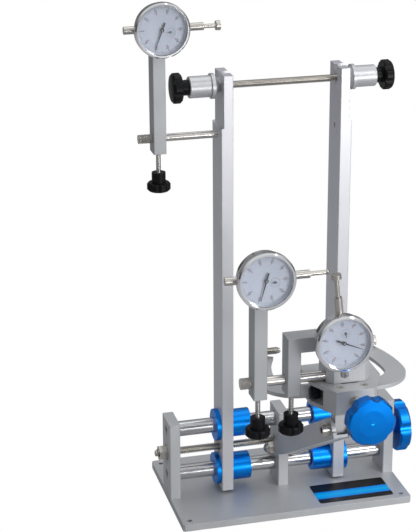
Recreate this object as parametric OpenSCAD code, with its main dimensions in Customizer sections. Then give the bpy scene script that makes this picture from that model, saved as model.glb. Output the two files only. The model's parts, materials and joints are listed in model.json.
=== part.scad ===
// Wheel truing stand with three dial indicators. Millimetres, +Z up.
// X runs along the wheel axle, Y runs away from the user, and the origin
// is the centre of the underside of the base plate.

/* [Base frame] */
// Length of the base plate along X
base_l = 262; // [240:2:300]
// Depth of the base plate along Y
base_d = 160; // [150:2:180]
// Thickness of the base plate
base_t = 8; // [6:1:12]
// Thickness of the three upright plates
plate_t = 12; // [12:1:14]
// Depth of the three upright plates
plate_d = 36; // [34:1:42]
// Height of the three upright plates
plate_h = 90; // [88:1:96]
// Height of the lower guide rod above the floor
rod_low_z = 31; // [30:1:32]
// Height of the lead screw above the floor
screw_z = 58; // [57:1:59]
// Height of the upper guide rod above the floor
rod_high_z = 85; // [84:1:86]
// Diameter of the two guide rods
rod_dia = 17; // [14:1:18]
// Diameter of the lead screw
lead_dia = 9; // [8:0.5:10]

/* [Columns] */
// Distance of each column's middle plane from the middle of the stand
column_x = 65; // [62:1:68]
// Thickness of each column along X
column_t = 13; // [12:0.5:15]
// Depth of each column along Y
column_d = 38; // [37:1:42]
// Gap between the base plate and the columns
column_gap = 3; // [2:0.5:4]
// Height of the wheel axle above the floor
axle_z = 474; // [460:2:480]
// Height of the columns above the wheel axle
column_over = 14; // [12:1:18]
// Width of the open slot for the axle
slot_w = 10; // [9.5:0.1:10.5]
// Depth of the relief in the outer face round the slot
relief_t = 3; // [2:0.5:4]
// Outer diameter of the linear bushings
bushing_dia = 31; // [28:1:31]
// Length of bushing that stands out of a column's inner face
bushing_out = 22; // [16:1:24]

/* [Wheel axle] */
// Diameter of the threaded wheel axle
axle_dia = 7.8; // [7:0.2:8]
// Length of the threaded wheel axle
axle_l = 214; // [204:2:214]
// Outer diameter of the axle cones' sleeves
cone_dia = 23; // [21:1:25]
// Length of the axle cones' sleeves
cone_l = 23.5; // [20:0.5:25]
// Outer diameter of the black axle knobs
axle_knob_dia = 32; // [28:1:34]

/* [Indicator arms] */
// Width of the indicator arms along X
arm_w = 13.5; // [12:0.5:15]
// Depth of the indicator arms along Y
arm_d = 20; // [18:1:22]
// Diameter of the upper indicator rod
upper_rod_dia = 8; // [7:0.5:9]
// Height of the upper indicator rod
upper_rod_z = 422; // [418:1:426]
// Middle plane of the upper arm
upper_arm_x = -134.8; // [-136:0.2:-134]
// Diameter of the lower indicator rod
lower_rod_dia = 10; // [9:0.5:10.5]
// Middle plane of the side arm on the lower rod
side_arm_x = -89.5; // [-90:0.5:-88]
// Middle plane of the radial arm on the lower rod
radial_arm_x = -55.7; // [-57:0.1:-55]

/* [Dial indicators] */
// Outer diameter of the bezels
dial_dia = 57; // [55:1:58]
// Thickness of a dial from its back to the rim of its bezel
dial_t = 20; // [19:0.5:21]
// Length of the stem beyond the bezel
stem_l = 16; // [14:1:18]
// Tilt of the radial dial about its own face
radial_tilt = 6; // [0:1:8]

/* [Swing arm and carriage] */
// Length of the swing arm between its two pivots
swing_l = 226; // [222:1:230]
// Angle of the swing arm above the horizontal
swing_angle = 30.2; // [29:0.2:31]
// Height of the swing arm's side cheeks
swing_h = 22; // [20:1:24]
// Height of the carriage's front block and two plates together
carriage_h = 24.5; // [24:0.5:26]
// Thickness of the carriage's plates and of the claw plate
carriage_t = 4; // [3.5:0.5:4]
// Distance of the feed knob's front from the front block
feed_reach = 51; // [46:1:56]
// Diameter of the feed knob
feed_knob_dia = 48; // [44:1:52]
// Diameter of the hand knob on the lead screw
lead_knob_dia = 59; // [52:1:62]

/* [Hidden] */
$fn = 64;
// Radial running clearance between a shaft and its bore
run = 0.05;
// Clearance between faces of pieces that move past each other
pass = 0.3;
// Overshoot of every cutter
cut = 1;

// Frame
base_hl = base_l / 2;
base_hd = base_d / 2;
plate_in = base_hl - plate_t;
hole_in = 9;
hole_dia = 5.5;
seat_t = 3;
bearing_pin_in = 12;
head_recess = 5;
pivot_dia = 8;
pivot_y = -plate_d / 2 + 5.5;
pivot_z = screw_z - 3.5;
arm_end_r = norm([pivot_y, pivot_z - screw_z]) - lead_dia / 2 - 0.4;

// Columns
column_z0 = base_t + column_gap;
column_z1 = axle_z + column_over;
column_in = column_x - column_t / 2;
column_out = column_x + column_t / 2;
flange_dia = bushing_dia + 5;
flange_t = 5;
drive_nut_dia = 16;
relief_r = 50;
relief_z = axle_z - 45.5;

// Axle clamps, measured outwards from the middle of the stand
seat_x = column_out - relief_t;
taper_l = 6.5;
collar_t = 3.5;
collar_x = seat_x + taper_l;
sleeve_x = collar_x + collar_t;
neck_x = sleeve_x + cone_l;
neck_l = 8;
knob_x = neck_x + neck_l;
knob_bore_l = neck_l + 8.5;
axle_knob_t = 11;
axle_hl = axle_l / 2;

// Dial sizes, measured from the back of the case towards the glass
stem_t = 7.4;
scale_t = 13.2;
skirt_t = stem_t + 4.3;
glass_t = 18;
case_r = dial_dia / 2 - 2.5;
inner_dial_r = 16.8;
spindle_r = 2.2;
stem_r = 4;
cap_l = 9.6;
counter_r = 9.3;
counter_turn = -17;
arbor_r = 0.8;
counter_arbor_r = 0.6;
dial_gap = 2;
upper_reach = 62;
side_reach = 64.5;
radial_reach = 68;
upper_hand_angle = 249;
side_hand_angle = 255;
radial_hand_angle = 241;
counter_angle = 180;

// Upper indicator
arm_tail = 15;
arm_hd = arm_d / 2;
upper_dial_z = upper_rod_z + 120;
upper_dial_y = -arm_hd - dial_gap;

// Swing arm and carriage
cheek_t = 4;
web_t = 3;
yoke_gap = 0.3;
cheek_in = plate_t / 2 + yoke_gap;
cheek_out = cheek_in + cheek_t;
tilt_y = pivot_y - swing_l * cos(swing_angle);
tilt_z = pivot_z + swing_l * sin(swing_angle);
tilt_dia = 8;
lug_hw = plate_t / 2;
lug_hd = swing_h / 2 - web_t - 0.9;

carriage_y0 = tilt_y - 49;
carriage_z0 = tilt_z + 38;
carriage_z1 = carriage_z0 + carriage_h;
front_hw = 19.5;
flare_hw = 36;
flare_y = carriage_y0 + 32;
carriage_y1 = carriage_y0 + 72;
front_t = 16;
inside_z0 = carriage_z0 + carriage_t;
inside_z1 = carriage_z1 - carriage_t;
feed_z = (carriage_z0 + carriage_z1) / 2;
feed_dia = 7.2;
cross_screw_x = 12;
cross_screw_y = carriage_y0 + 11;

// Feed slide
claw_z = inside_z0 + pass;
nut_y0 = carriage_y0 + 23;
nut_y1 = nut_y0 + 30;
nut_hw = 14;
nut_z0 = claw_z + carriage_t;
nut_z1 = inside_z1 - pass;
tongue_hw = 8.6;
head_hw = 22;
head_y0 = carriage_y0 + 19;
head_y1 = head_y0 + 30;
head_z0 = carriage_z1 + pass;
head_z1 = head_z0 + 20;
head_chamfer = 6;
rod_end_x = -head_hw + 21;
lower_rod_y = carriage_y0 + 31;
lower_rod_z = head_z0 + 5.3;
lock_y = nut_y0 + 8;
lock_z = feed_z + 0.9;

// Claws
claw_y = carriage_y0 + 38;
claw_hw = 78;
claw_bend = 40;
claw_w = 21;
claw_tip_x = 58;
claw_tip_y = carriage_y0 + 137;
claw_boss = 12;
contact_x = 36;
contact_head_x = claw_tip_x + claw_boss / 2 + pass;
contact_z = nut_z0 + 6;

// Lower dials
side_dial_z = lower_rod_z + 115;
lower_dial_y = lower_rod_y - arm_hd - dial_gap;
radial_dial_x = -15;
radial_dial_z = lower_rod_z + 48;
radial_dial_y = lower_dial_y - 10;
radial_lug_drop = 8;
radial_turn = 90 + radial_tilt;
cross_z0 = lower_rod_z + 30.5;
cross_z1 = lower_rod_z + 45.5;

// Colours
silver = [0.80, 0.81, 0.83];
steel = [0.70, 0.69, 0.67];
chrome = [0.90, 0.90, 0.92];
blue = [0.00, 0.43, 0.82];
black = [0.08, 0.08, 0.09];
dial_white = [0.90, 0.93, 0.96];
brass = [0.78, 0.62, 0.32];

// Shared shapes

// Points on an arc about c, from angle a0 to a1
function arc(c, r, a0, a1, n = 12) =
    [for (i = [0:n]) c + r * [cos(a0 + (a1 - a0) * i / n), sin(a0 + (a1 - a0) * i / n)]];

// Cylinder along X from x0 to x1 on the axis y, z
module xcyl(r, x0, x1, y = 0, z = 0)
    translate([min(x0, x1), y, z])
        rotate([0, 90, 0])
            cylinder(r = r, h = abs(x1 - x0));

// Cylinder along Y from y0 to y1 on the axis x, z
module ycyl(r, y0, y1, x = 0, z = 0)
    translate([x, max(y0, y1), z])
        rotate([90, 0, 0])
            cylinder(r = r, h = abs(y1 - y0));

// Cylinder along Z from z0 to z1 on the axis x, y
module zcyl(r, z0, z1, x = 0, y = 0)
    translate([x, y, min(z0, z1)])
        cylinder(r = r, h = abs(z1 - z0));

// Box between two opposite corners
module box(a, b)
    translate([min(a.x, b.x), min(a.y, b.y), min(a.z, b.z)])
        cube([abs(b.x - a.x), abs(b.y - a.y), abs(b.z - a.z)]);

// Solid of revolution about X, from profile points [x, r]
module xturn(profile)
    rotate([0, 90, 0])
        rotate([0, 0, 90])
            rotate_extrude()
                polygon([for (p = profile) [p[1], p[0]]]);

// Mirror to the right side of the stand
module right_side()
    mirror([1, 0, 0])
        children();

// Rectangle with chamfered corners, centred
module chamfered(w, d, c)
    polygon([
        [-w / 2 + c, -d / 2], [w / 2 - c, -d / 2],
        [w / 2, -d / 2 + c], [w / 2, d / 2 - c],
        [w / 2 - c, d / 2], [-w / 2 + c, d / 2],
        [-w / 2, d / 2 - c], [-w / 2, -d / 2 + c]
    ]);

// Outline of a hand knob with scallops cut in its rim
module scalloped(r, lobes, scallop_r, bite, turn = 0)
    difference() {
        circle(r = r);
        for (i = [0:lobes - 1])
            rotate(turn + i * 360 / lobes)
                translate([r + scallop_r - bite, 0])
                    circle(r = scallop_r, $fn = 32);
    }

// Hand knob standing on z = 0, with softened rims and a slightly domed face
module hand_knob(r, h, lobes, scallop_r, bite, dome, turn = 0)
    intersection() {
        linear_extrude(h + dome)
            scalloped(r, lobes, scallop_r, bite, turn);
        rotate_extrude()
            polygon([
                [0, 0], [r - 1.5, 0], [r, 1.5], [r, h - 2],
                [r - 2, h], [r * 0.55, h + dome * 0.7], [0, h + dome]
            ]);
    }

// Frame

function base_screw_x() = [-base_hl + plate_t / 2, 0, base_hl - plate_t / 2];

module base_plate()
    color(silver)
        difference() {
            linear_extrude(base_t)
                chamfered(base_l, base_d, 2);
            for (x = [-1, 1], y = [-1, 1])
                zcyl(hole_dia / 2, -cut, base_t + cut, x * (base_hl - hole_in), y * (base_hd - hole_in));
            for (x = base_screw_x(), y = [-10, 10])
                base_screw(x, y);
        }

// Countersunk screw from below the base into an upright plate
module base_screw(x, y)
    translate([x, y, 0])
        rotate_extrude()
            polygon([[0, 0], [4.7, 0], [2.5, 2.6], [2.5, 20], [0, 20]]);

// Socket screw that clamps one end of a guide rod, on the left side
module rod_screw(z) {
    xcyl(5, -base_hl + 0.8, -base_hl + head_recess, 0, z);
    xcyl(3, -base_hl + head_recess, -plate_in + 14, 0, z);
}

module plate_blank(x)
    translate([x, 0, base_t])
        linear_extrude(plate_h)
            chamfered(plate_t, plate_d, 0.8);

module end_plate()
    difference() {
        plate_blank(-base_hl + plate_t / 2);
        for (z = [rod_low_z, rod_high_z]) {
            xcyl(rod_dia / 2, -plate_in - seat_t, -plate_in + cut, 0, z);
            xcyl(5.6, -base_hl - cut, -base_hl + head_recess, 0, z);
            xcyl(3, -base_hl, -plate_in, 0, z);
        }
        xcyl(lead_dia / 2 + run, -base_hl - cut, -plate_in + cut, 0, screw_z);
        for (y = [-10, 10])
            base_screw(-base_hl + plate_t / 2, y);
    }

// The bearing of the lead screw is pinned above and below its nut
module left_end_plate()
    color(silver)
        difference() {
            end_plate();
            for (z = [screw_z - bearing_pin_in, screw_z + bearing_pin_in])
                xcyl(1.1, -base_hl - cut, -base_hl + 2, 0, z);
        }

module right_end_plate()
    color(silver)
        right_side()
            end_plate();

module centre_plate()
    color(silver)
        difference() {
            plate_blank(0);
            for (z = [rod_low_z, rod_high_z])
                xcyl(rod_dia / 2, -plate_t, plate_t, 0, z);
            xcyl(lead_dia / 2 + 1, -plate_t, plate_t, 0, screw_z);
            xcyl(pivot_dia / 2, -plate_t, plate_t, pivot_y, pivot_z);
            for (y = [-10, 10])
                base_screw(0, y);
        }

module guide_rods()
    color(chrome)
        for (z = [rod_low_z, rod_high_z])
            difference() {
                xcyl(rod_dia / 2, -plate_in - seat_t, plate_in + seat_t, 0, z);
                for (side = [0, 1])
                    mirror([side, 0, 0])
                        rod_screw(z);
            }

module frame_screws()
    color(steel) {
        for (x = base_screw_x(), y = [-10, 10])
            base_screw(x, y);
        for (side = [0, 1], z = [rod_low_z, rod_high_z])
            mirror([side, 0, 0])
                difference() {
                    rod_screw(z);
                    xcyl(2.9, -base_hl, -base_hl + 3.5, 0, z, $fn = 6);
                }
    }

module arm_pivot_bolt()
    color(steel) {
        xcyl(pivot_dia / 2, -cheek_out - 8, cheek_out + 8, pivot_y, pivot_z);
        for (side = [0, 1])
            mirror([side, 0, 0])
                translate([cheek_out + 0.15, pivot_y, pivot_z])
                    acorn_nut();
    }

// Domed nut along X, standing on x = 0
module acorn_nut()
    xturn_local([[0, 0], [0, 7.4], [5.5, 7.4], [6.5, 6.4], [9.5, 4.6], [11, 2.2], [11.4, 0]]);

// Solid of revolution about X from profile points [x, r], hexagonal up to its dome
module xturn_local(profile)
    intersection() {
        xturn(profile);
        rotate([0, 90, 0])
            translate([0, 0, -cut])
                cylinder(r = 7.5, h = 20, $fn = 6);
    }

// Lead screw

module lead_screw()
    color(steel)
        xcyl(lead_dia / 2, -base_hl - 13, base_hl + 16, 0, screw_z);

module lead_end_nut()
    color(steel)
        difference() {
            union() {
                xcyl(9, -base_hl - 0.15, -base_hl - 1.8, 0, screw_z);
                xcyl(8.6, -base_hl - 1.8, -base_hl - 9, 0, screw_z, $fn = 6);
            }
            xcyl(lead_dia / 2, -base_hl - 20, -base_hl + cut, 0, screw_z);
        }

module lead_knob()
    color(blue)
        difference() {
            translate([base_hl, 0, screw_z])
                rotate([0, 90, 0]) {
                    translate([0, 0, 0.15])
                        cylinder(r = 9, h = 6);
                    translate([0, 0, 5.5])
                        hand_knob(lead_knob_dia / 2, 13, 6, 10, 3.2, 1, 15);
                }
            xcyl(lead_dia / 2, base_hl - cut, base_hl + 16, 0, screw_z);
        }

// Columns, drawn on the left side

module column()
    difference() {
        translate([-column_x, 0, column_z0])
            linear_extrude(column_z1 - column_z0)
                chamfered(column_t, column_d, 0.6);
        for (z = [rod_low_z, rod_high_z])
            xcyl(bushing_dia / 2, -column_out - cut, -column_in + cut, 0, z);
        xcyl(drive_nut_dia / 2, -column_out - cut, -column_in + cut, 0, screw_z);
        xcyl(slot_w / 2, -column_out - cut, -column_in + cut, 0, axle_z);
        box([-column_out - cut, -slot_w / 2, axle_z], [-column_in + cut, slot_w / 2, column_z1 + cut]);
        xcyl(relief_r, -column_out - cut, -seat_x, 0, relief_z + relief_r);
        xcyl(upper_rod_dia / 2 + run, -column_out - cut, -column_in - 2, 0, upper_rod_z);
    }

module left_column()
    color(silver)
        column();

module right_column()
    color(silver)
        right_side()
            difference() {
                column();
                xcyl(3, -column_out - cut, -column_in + cut, 0, upper_rod_z);
            }

// Flanged linear bushing, drawn on the left side
module bushing(z)
    difference() {
        union() {
            xcyl(bushing_dia / 2, -column_out - flange_t, -column_in + bushing_out, 0, z);
            xcyl(flange_dia / 2, -column_out - flange_t, -column_out, 0, z);
        }
        xcyl(rod_dia / 2 + run, -column_out - 10, -column_in + bushing_out + cut, 0, z);
        xcyl(rod_dia / 2 + 2, -column_in + bushing_out - 1.5, -column_in + bushing_out + cut, 0, z);
    }

module left_bushings()
    color(blue)
        for (z = [rod_low_z, rod_high_z])
            bushing(z);

module right_bushings()
    color(blue)
        right_side()
            for (z = [rod_low_z, rod_high_z])
                bushing(z);

module drive_nut()
    difference() {
        xcyl(drive_nut_dia / 2, -column_out, -column_in, 0, screw_z);
        xcyl(lead_dia / 2 + run, -column_out - cut, -column_in + cut, 0, screw_z);
    }

module left_drive_nut()
    color(brass)
        drive_nut();

module right_drive_nut()
    color(brass)
        right_side()
            drive_nut();

// Wheel axle and its clamps, drawn on the left side

module axle()
    color(steel)
        xcyl(axle_dia / 2, -axle_hl, axle_hl, 0, axle_z);

module axle_cone()
    translate([0, 0, axle_z])
        difference() {
            xturn([
                [-neck_x, 0], [-neck_x, cone_dia / 2 - 0.8], [-neck_x + 0.8, cone_dia / 2],
                [-sleeve_x, cone_dia / 2], [-sleeve_x, cone_dia / 2 + 2],
                [-collar_x, cone_dia / 2 + 2], [-collar_x, cone_dia / 2 + 0.6],
                [-seat_x, slot_w / 2 + 1], [-seat_x, slot_w / 2 - 0.2],
                [-seat_x + 6, slot_w / 2 - 0.2], [-seat_x + 6, 0]
            ]);
            xcyl(axle_dia / 2 + run, -neck_x - cut, -seat_x + 10);
        }

module left_cone()
    color(silver)
        axle_cone();

module right_cone()
    color(silver)
        right_side()
            axle_cone();

module axle_knob()
    translate([-neck_x, 0, axle_z])
        rotate([0, -90, 0])
            difference() {
                union() {
                    translate([0, 0, 0.15])
                        cylinder(r = 8.2, h = neck_l + cut);
                    translate([0, 0, neck_l])
                        hand_knob(axle_knob_dia / 2, axle_knob_t - 1, 7, 4, 2, 1);
                }
                translate([0, 0, -cut])
                    cylinder(r = axle_dia / 2 + run, h = knob_bore_l + cut);
            }

module left_axle_knob()
    color(black)
        axle_knob();

module right_axle_knob()
    color(black)
        right_side()
            axle_knob();

// Indicator arms and their rods

// Clamp knob hanging under an arm whose rod lies at x, y, z
module clamp_knob(x, y, z, rod_r) {
    knob_r = 12.5;
    stud_z1 = z - rod_r - pass;
    neck_z1 = z - arm_tail - 22;
    translate([x, y, neck_z1])
        mirror([0, 0, 1]) {
            translate([0, 0, neck_z1 - stud_z1])
                cylinder(r = 2.5, h = stud_z1 - neck_z1 + 5);
            cylinder(r = 7.4, h = 12);
            translate([0, 0, 11])
                hand_knob(knob_r, 9, 7, 3.2, 1.7, 1.2);
        }
}

// Bores in an arm for its rod and its clamp stud
module arm_bores(x, y, z, rod_r) {
    xcyl(rod_r + run, x - 40, x + 10, y, z);
    zcyl(2.5 + run, z - arm_tail - cut, z, x, y);
}

// Slot in the front of an arm for a dial's lug
module lug_slot(x, front_y, z)
    box([x - 3, front_y - cut, z - 20], [x + 3, front_y + 12, z + 30]);

module upper_rod()
    color(steel) {
        xcyl(upper_rod_dia / 2, -column_in - 3, upper_arm_x - arm_w / 2 - 0.1, 0, upper_rod_z);
        xcyl(4.7, upper_arm_x - arm_w / 2 - 0.1, upper_arm_x - arm_w / 2 - 14.5, 0, upper_rod_z);
    }

module upper_arm()
    color(silver)
        difference() {
            translate([upper_arm_x, 0, upper_rod_z - arm_tail])
                linear_extrude(upper_dial_z - upper_rod_z + arm_tail + 8)
                    chamfered(arm_w, arm_d, 0.6);
            arm_bores(upper_arm_x, 0, upper_rod_z, upper_rod_dia / 2);
            lug_slot(upper_arm_x, -arm_hd, upper_dial_z + 13);
        }

module upper_clamp_knob()
    color(black)
        clamp_knob(upper_arm_x, 0, upper_rod_z, upper_rod_dia / 2);

module lower_rod()
    color(steel) {
        xcyl(lower_rod_dia / 2, side_arm_x - arm_w / 2 - 2, rod_end_x, lower_rod_y, lower_rod_z);
        xcyl(5.6, side_arm_x - arm_w / 2 - 2, side_arm_x - arm_w / 2 - 11, lower_rod_y, lower_rod_z);
    }

module side_arm()
    color(silver)
        difference() {
            translate([side_arm_x, lower_rod_y, lower_rod_z - arm_tail])
                linear_extrude(side_dial_z - lower_rod_z + arm_tail + 8)
                    chamfered(arm_w, arm_d, 0.6);
            arm_bores(side_arm_x, lower_rod_y, lower_rod_z, lower_rod_dia / 2);
            lug_slot(side_arm_x, lower_rod_y - arm_hd, side_dial_z + 13);
        }

module side_clamp_knob()
    color(black)
        clamp_knob(side_arm_x, lower_rod_y, lower_rod_z, lower_rod_dia / 2);

module radial_arm()
    color(silver)
        difference() {
            union() {
                translate([radial_arm_x, lower_rod_y, lower_rod_z - arm_tail])
                    linear_extrude(cross_z1 - lower_rod_z + arm_tail)
                        chamfered(arm_w, arm_d, 0.6);
                box([radial_arm_x, lower_rod_y - arm_hd, cross_z0],
                    [radial_dial_x + 7, lower_rod_y + arm_hd, cross_z1]);
            }
            arm_bores(radial_arm_x, lower_rod_y, lower_rod_z, lower_rod_dia / 2);
            lug_slot(radial_dial_x, lower_rod_y - arm_hd, cross_z0 + 10);
        }

module radial_clamp_knob()
    color(black)
        clamp_knob(radial_arm_x, lower_rod_y, lower_rod_z, lower_rod_dia / 2);

// Swing arm: a channel that straddles the centre plate

// Places children in the arm's own frame: +X along the arm, +Y above it
module along_arm(x0, x1)
    multmatrix([
        [0, 0, -1, x1],
        [-cos(swing_angle), sin(swing_angle), 0, pivot_y],
        [sin(swing_angle), cos(swing_angle), 0, pivot_z],
        [0, 0, 0, 1]
    ])
        linear_extrude(x1 - x0)
            children();

// Outline of one cheek: a small round end at the pivot, a large one at the tilt screw
module cheek_outline() {
    hh = swing_h / 2;
    step = -27;
    polygon(concat(
        arc([0, 0], arm_end_r, 90, 270, 16),
        [[38, -hh], [swing_l + 12, -hh], [swing_l + 12, hh * sin(step)]],
        arc([swing_l, 0], hh, step, 90, 12),
        [[38, hh]]
    ));
}

module swing_arm()
    color(silver)
        difference() {
            union() {
                along_arm(-cheek_out, -cheek_in)
                    cheek_outline();
                along_arm(cheek_in, cheek_out)
                    cheek_outline();
                along_arm(-cheek_in - 1, cheek_in + 1)
                    translate([40, -swing_h / 2 + 0.5])
                        square([swing_l - 30, web_t]);
            }
            xcyl(pivot_dia / 2 + run, -cheek_out - cut, cheek_out + cut, pivot_y, pivot_z);
            xcyl(tilt_dia / 2, -cheek_out - cut, cheek_out + cut, tilt_y, tilt_z);
        }

module tilt_screw()
    color(steel) {
        difference() {
            xcyl(6.6, -cheek_out - 8, -cheek_out, tilt_y, tilt_z);
            xcyl(3.5, -cheek_out - 9, -cheek_out - 3.5, tilt_y, tilt_z, $fn = 6);
        }
        xcyl(tilt_dia / 2, -cheek_out, cheek_out + 8, tilt_y, tilt_z);
        xcyl(7.5, cheek_out, cheek_out + 6.5, tilt_y, tilt_z, $fn = 6);
    }

// Carriage

// Plan of the carriage's plates: narrow at the front, flared to full width
module carriage_plan()
    polygon([
        [-front_hw, carriage_y0], [front_hw, carriage_y0],
        [flare_hw, flare_y], [flare_hw, carriage_y1],
        [-flare_hw, carriage_y1], [-flare_hw, flare_y]
    ]);

// Countersunk screw, its head flush with z = 0 and its shank below
module sunk_screw(l)
    rotate_extrude()
        polygon([[0, 0], [4.2, 0], [2, 2.3], [2, l], [0, l]]);

module cross_screw_top(x)
    translate([x, cross_screw_y, carriage_z1])
        mirror([0, 0, 1])
            sunk_screw(12);

module cross_screw_bottom(x)
    translate([x, cross_screw_y, carriage_z0])
        sunk_screw(10);

module top_plate()
    color(silver)
        difference() {
            translate([0, 0, inside_z1])
                linear_extrude(carriage_t)
                    carriage_plan();
            box([-tongue_hw - 0.1, carriage_y0 + 18, inside_z1 - cut],
                [tongue_hw + 0.1, carriage_y1 - 5, carriage_z1 + cut]);
            for (x = [-cross_screw_x, cross_screw_x])
                cross_screw_top(x);
        }

module tilt_bracket()
    color(silver)
        difference() {
            union() {
                translate([0, 0, carriage_z0])
                    linear_extrude(carriage_t)
                        carriage_plan();
                box([-lug_hw, tilt_y - lug_hd, tilt_z], [lug_hw, tilt_y + lug_hd, carriage_z0 + cut]);
                xcyl(lug_hd, -lug_hw, lug_hw, tilt_y, tilt_z);
            }
            xcyl(tilt_dia / 2 + run, -lug_hw - cut, lug_hw + cut, tilt_y, tilt_z);
            for (x = [-cross_screw_x, cross_screw_x])
                cross_screw_bottom(x);
        }

module front_block()
    color(silver)
        difference() {
            intersection() {
                translate([0, 0, inside_z0])
                    linear_extrude(inside_z1 - inside_z0)
                        carriage_plan();
                box([-flare_hw, carriage_y0, inside_z0], [flare_hw, carriage_y0 + front_t, inside_z1]);
            }
            ycyl(feed_dia / 2 + run, carriage_y0 - cut, carriage_y0 + front_t + cut, 0, feed_z);
            for (x = [-cross_screw_x, cross_screw_x]) {
                cross_screw_top(x);
                cross_screw_bottom(x);
            }
        }

module carriage_screws()
    color(steel)
        for (x = [-cross_screw_x, cross_screw_x]) {
            difference() {
                cross_screw_top(x);
                zcyl(1.4, carriage_z1 - 1.5, carriage_z1 + cut, x, cross_screw_y, $fn = 6);
            }
            difference() {
                cross_screw_bottom(x);
                zcyl(1.4, carriage_z0 - cut, carriage_z0 + 1.5, x, cross_screw_y, $fn = 6);
            }
        }

module feed_screw()
    color(steel) {
        ycyl(feed_dia / 2, carriage_y0 - feed_reach + 6, nut_y1 - 4, 0, feed_z);
        ycyl(6, carriage_y0 - 0.15, carriage_y0 - 6, 0, feed_z);
        ycyl(6, carriage_y0 + front_t + 0.15, carriage_y0 + front_t + 1.5, 0, feed_z);
    }

module feed_knob()
    color(blue)
        difference() {
            translate([0, carriage_y0 - feed_reach + 15, feed_z])
                rotate([90, 0, 0]) {
                    translate([0, 0, -8])
                        cylinder(r = 8, h = 9);
                    hand_knob(feed_knob_dia / 2, 14, 6, 8, 2.6, 1, 20);
                }
            ycyl(feed_dia / 2, carriage_y0 - feed_reach + 6, carriage_y0, 0, feed_z);
        }

// Feed slide

module slide_nut()
    color(silver)
        difference() {
            box([-nut_hw, nut_y0, nut_z0], [nut_hw, nut_y1, nut_z1]);
            ycyl(feed_dia / 2 + run, nut_y0 - cut, nut_y1 + cut, 0, feed_z);
            xcyl(2 + run, -nut_hw - cut, -feed_dia, lock_y, lock_z);
        }

module head_block()
    color(silver)
        difference() {
            union() {
                translate([0, 0, head_z0])
                    linear_extrude(head_z1 - head_z0)
                        polygon([
                            [-head_hw + head_chamfer, head_y0], [head_hw - head_chamfer, head_y0],
                            [head_hw, head_y0 + head_chamfer], [head_hw, head_y1],
                            [-head_hw, head_y1], [-head_hw, head_y0 + head_chamfer]
                        ]);
                box([-tongue_hw, nut_y0 + 1, nut_z1], [tongue_hw, nut_y1 - 5, head_z0 + cut]);
            }
            xcyl(lower_rod_dia / 2 + run, -head_hw - cut, rod_end_x + pass, lower_rod_y, lower_rod_z);
        }

// Plan of the right claw, from the middle tongue to its tip
module claw_plan() {
    bend = [claw_hw - claw_bend, claw_y + claw_bend];
    long_r = 150;
    finger = [claw_hw - long_r, bend.y];
    finger_a = asin((claw_tip_y + 8 - bend.y) / long_r);
    inner_bend = claw_bend - claw_w;
    polygon(concat(
        [[-0.01, claw_y]],
        arc(bend, claw_bend, -90, 0),
        arc(finger, long_r, 0, finger_a),
        arc(finger, long_r - claw_w, finger_a, 0),
        arc(bend, inner_bend, 0, -90),
        [[-0.01, claw_y + claw_w]]
    ));
}

module claw_plate()
    color(silver)
        union() {
            translate([0, 0, claw_z])
                linear_extrude(carriage_t) {
                    claw_plan();
                    mirror([1, 0])
                        claw_plan();
                    translate([-nut_hw, nut_y0])
                        square([2 * nut_hw, claw_y + claw_w - nut_y0]);
                }
            for (side = [0, 1])
                mirror([side, 0, 0])
                    difference() {
                        translate([claw_tip_x, claw_tip_y, claw_z + 1])
                            linear_extrude(carriage_t + claw_boss - 1)
                                chamfered(claw_boss, claw_boss, 1);
                        xcyl(3.8, claw_tip_x - 20, claw_tip_x + 20, claw_tip_y, contact_z);
                    }
        }

module contact_screws()
    color(steel)
        for (side = [0, 1])
            mirror([side, 0, 0]) {
                xcyl(3.8, contact_x + 1.5, contact_head_x + cut, claw_tip_y, contact_z);
                xcyl(2.6, contact_x, contact_x + 2, claw_tip_y, contact_z);
                xcyl(5.4, contact_head_x, contact_head_x + 3.4, claw_tip_y, contact_z);
            }

module lock_knob()
    color(black) {
        xcyl(2, -feed_dia - 1, -nut_hw - 20, lock_y, lock_z);
        translate([-nut_hw - 13, lock_y, lock_z])
            rotate([0, -90, 0])
                hand_knob(7, 9.5, 6, 2, 0.9, 0.5);
        xcyl(4, -nut_hw - 0.3, -nut_hw - 13.5, lock_y, lock_z);
    }

// Dial indicators. Each is drawn about its own middle: +Z is the way the
// glass faces, and +X is the way the stem points.

// Places a dial with the back of its case at back_y, its stem turned by turn
module place_dial(x, back_y, z, turn = 0)
    translate([x, back_y, z])
        rotate([90, 0, 0])
            rotate([0, 0, turn])
                children();

module dial_case(lug_l, lug_drop = 0, turn = 0)
    difference() {
        union() {
            rotate_extrude()
                polygon([
                    [0, 0], [case_r - 2, 0], [case_r, 2], [case_r, scale_t - pass],
                    [case_r - 1.5, scale_t - pass], [case_r - 1.5, scale_t - 2],
                    [inner_dial_r - 1.5, scale_t - 2], [inner_dial_r - 1.5, scale_t],
                    [inner_dial_r, scale_t], [inner_dial_r, scale_t + 0.8], [0, scale_t + 0.8]
                ]);
            translate([0, 0, stem_t])
                rotate([0, 90, 0])
                    cylinder(r = stem_r, h = dial_dia / 2 + stem_l);
            translate([0, 0, stem_t])
                rotate([0, -90, 0])
                    cylinder(r = stem_r, h = dial_dia / 2 + cap_l);
            cylinder(r = arbor_r, h = scale_t + 4);
            rotate([0, 0, counter_turn])
                translate([counter_r, 0, 0])
                    cylinder(r = counter_arbor_r, h = scale_t + 2.3);
            rotate([0, 0, -turn])
                translate([-3, -5 - lug_drop, -lug_l])
                    cube([6, 10, lug_l + 1]);
        }
        translate([-dial_dia / 2 - cap_l + 1.5, 0, stem_t])
            rotate([0, 90, 0])
                cylinder(r = spindle_r + run, h = dial_dia + cap_l + stem_l + cut);
    }

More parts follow.
